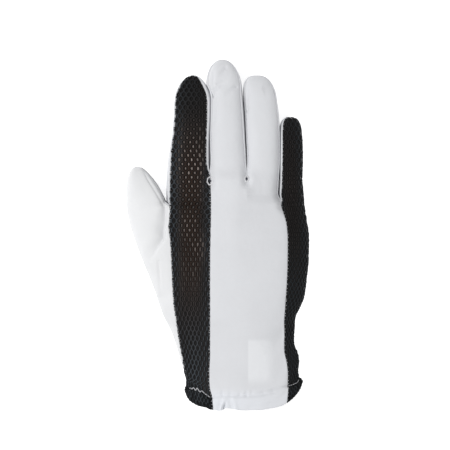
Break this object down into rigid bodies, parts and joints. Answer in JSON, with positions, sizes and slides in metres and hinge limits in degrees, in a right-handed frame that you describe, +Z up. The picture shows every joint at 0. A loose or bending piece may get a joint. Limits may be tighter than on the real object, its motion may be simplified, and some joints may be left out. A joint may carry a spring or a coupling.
{
  "type": "wicketkeeping inner glove",
  "caption": "Thin right-hand inner glove with a white cloth back, black mesh over the index and little fingers, and a white leather palm, worn under padded gloves.",
  "frame": {"origin": "middle of the outline seen from above, on the surface the glove lies on", "axes": "+Y from the cuff towards the fingertips, +Z up out of the back of the hand, +X from the thumb towards the little finger; the glove lies palm down"},
  "size_m": [0.1248, 0.2394, 0.027],
  "materials": {
    "black_mesh": "matt open-hole polyester mesh",
    "white_cloth": "smooth fine-knit cotton",
    "white_leather": "soft matt chamois"
  },
  "bodies": {
    "root": {"index_mesh_panel": "black_mesh", "little_mesh_panel": "black_mesh", "back_panel": "white_cloth", "thumb_back_panel": "white_leather", "palm_panel": "white_leather", "thumb_front_panel": "white_leather", "thumb_gusset": "white_cloth", "index_middle_gusset": "white_cloth", "middle_ring_gusset": "white_cloth", "ring_little_gusset": "white_cloth"}
  },
  "joints": []
}
